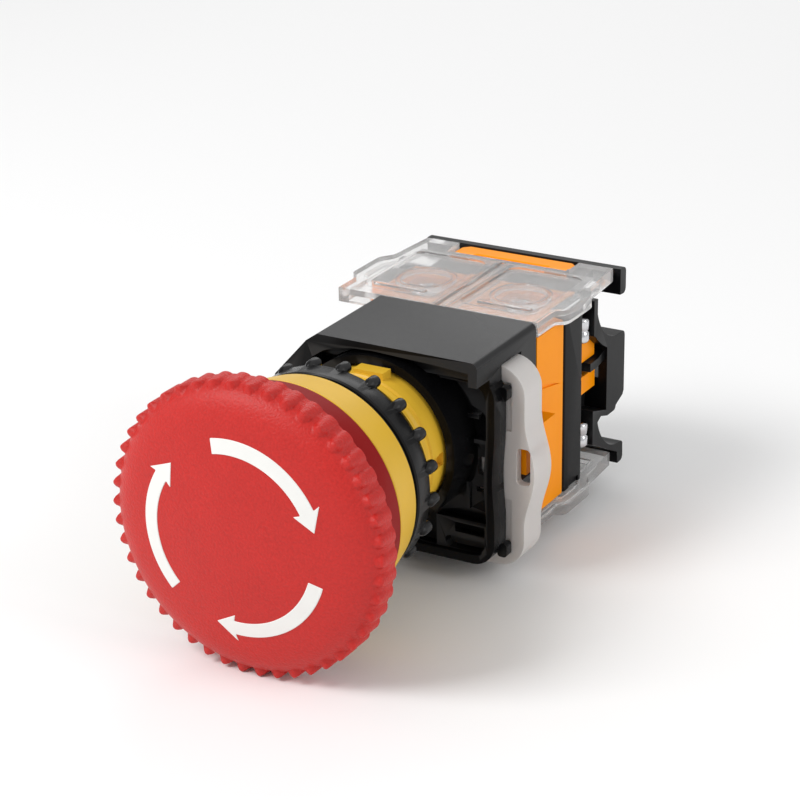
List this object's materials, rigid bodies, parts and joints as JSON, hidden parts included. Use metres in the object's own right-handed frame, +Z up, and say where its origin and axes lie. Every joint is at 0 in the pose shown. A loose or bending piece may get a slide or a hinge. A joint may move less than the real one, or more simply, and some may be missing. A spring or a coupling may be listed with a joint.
{
  "type": "emergency stop button",
  "caption": "Panel-mounted emergency stop: red twist-release mushroom head, yellow bezel, black base with lock lever, orange contact blocks under clear terminal covers.",
  "frame": {"origin": "centre of the panel hole, on the panel's front face where the gasket seats", "axes": "+Y along the operator axis from the head through the panel to the contacts, +Z up, +X towards the lock lever"},
  "size_m": [0.0404, 0.0808, 0.04],
  "materials": {
    "red_plastic": "fine moulded grain",
    "dark_red_plastic": "smooth satin",
    "white_inlay": "smooth",
    "yellow_plastic": "smooth satin",
    "black_plastic": "satin nylon",
    "rubber_seal": "matt",
    "orange_plastic": "smooth satin",
    "milky_plastic": "translucent",
    "clear_plastic": "clear polycarbonate",
    "brass": "plain",
    "plated_steel": "zinc plated"
  },
  "bodies": {
    "frame": {"guard_skirt": "dark_red_plastic", "bezel_barrel": "yellow_plastic", "latch_sleeve": "black_plastic", "panel_gasket": "rubber_seal", "base_housing": "black_plastic", "contact_housing_no": "orange_plastic", "contact_housing_nc": "orange_plastic", "side_bar_left": "black_plastic", "side_bar_right": "black_plastic", "rear_plate": "black_plastic", "release_tab": "orange_plastic", "return_spring": "plated_steel", "contact_spring_no": "plated_steel", "contact_spring_nc": "plated_steel", "fixed_contact_no_upper": "brass", "fixed_contact_no_lower": "brass", "fixed_contact_nc_upper": "brass", "fixed_contact_nc_lower": "brass", "clamp_plate_no_upper": "plated_steel", "clamp_plate_no_lower": "plated_steel", "clamp_plate_nc_upper": "plated_steel", "clamp_plate_nc_lower": "plated_steel", "terminal_screw_no_upper": "plated_steel", "terminal_screw_no_lower": "plated_steel", "terminal_screw_nc_upper": "plated_steel", "terminal_screw_nc_lower": "plated_steel", "fixing_screw_left": "plated_steel", "fixing_screw_right": "plated_steel", "clamp_pin_left_upper": "plated_steel", "clamp_pin_left_lower": "plated_steel", "clamp_pin_right_upper": "plated_steel", "clamp_pin_right_lower": "plated_steel"},
    "operator": {"operator_stem": "black_plastic", "actuator_plate": "black_plastic"},
    "head": {"mushroom_cap": "red_plastic", "arrow_inlay_1": "white_inlay", "arrow_inlay_2": "white_inlay", "arrow_inlay_3": "white_inlay"},
    "nut": {"panel_nut": "black_plastic"},
    "lever": {"lock_lever": "milky_plastic"},
    "no_contact": {"contact_plunger_no": "milky_plastic", "moving_bridge_no": "brass"},
    "nc_contact": {"contact_plunger_nc": "milky_plastic", "moving_bridge_nc": "brass"},
    "upper_cover": {"terminal_cover_upper": "clear_plastic"},
    "lower_cover": {"terminal_cover_lower": "clear_plastic"}
  },
  "joints": [
    {"name": "push", "type": "slide", "parent": "frame", "child": "operator", "axis": [0, 1, 0], "range_m": [0, 0.005], "stiffness_N_per_m": 2500, "springref_m": -0.0012, "deforming": ["return_spring"]},
    {"name": "twist_release", "type": "hinge", "parent": "operator", "child": "head", "pos_m": [0, -0.017, 0], "axis": [0, 1, 0], "range_deg": [0, 40], "stiffness_Nm_per_rad": 0.05},
    {"name": "nut_travel", "type": "slide", "parent": "frame", "child": "nut", "axis": [0, 1, 0], "range_m": [0, 0.005]},
    {"name": "lever_pull", "type": "slide", "parent": "frame", "child": "lever", "axis": [1, 0, 0], "range_m": [0, 0.0035]},
    {"name": "no_plunger", "type": "slide", "parent": "frame", "child": "no_contact", "axis": [0, 1, 0], "range_m": [0, 0.005], "deforming": ["contact_spring_no"]},
    {"name": "nc_plunger", "type": "slide", "parent": "frame", "child": "nc_contact", "axis": [0, 1, 0], "range_m": [0, 0.005], "deforming": ["contact_spring_nc"]},
    {"name": "upper_cover_lift", "type": "slide", "parent": "frame", "child": "upper_cover", "axis": [0, 0, 1], "range_m": [0, 0.012]},
    {"name": "lower_cover_drop", "type": "slide", "parent": "frame", "child": "lower_cover", "axis": [0, 0, -1], "range_m": [0, 0.012]}
  ],
  "couplings": [
    {"joint": "no_plunger", "follows": "push", "ratio": 1},
    {"joint": "nc_plunger", "follows": "push", "ratio": 1}
  ]
}
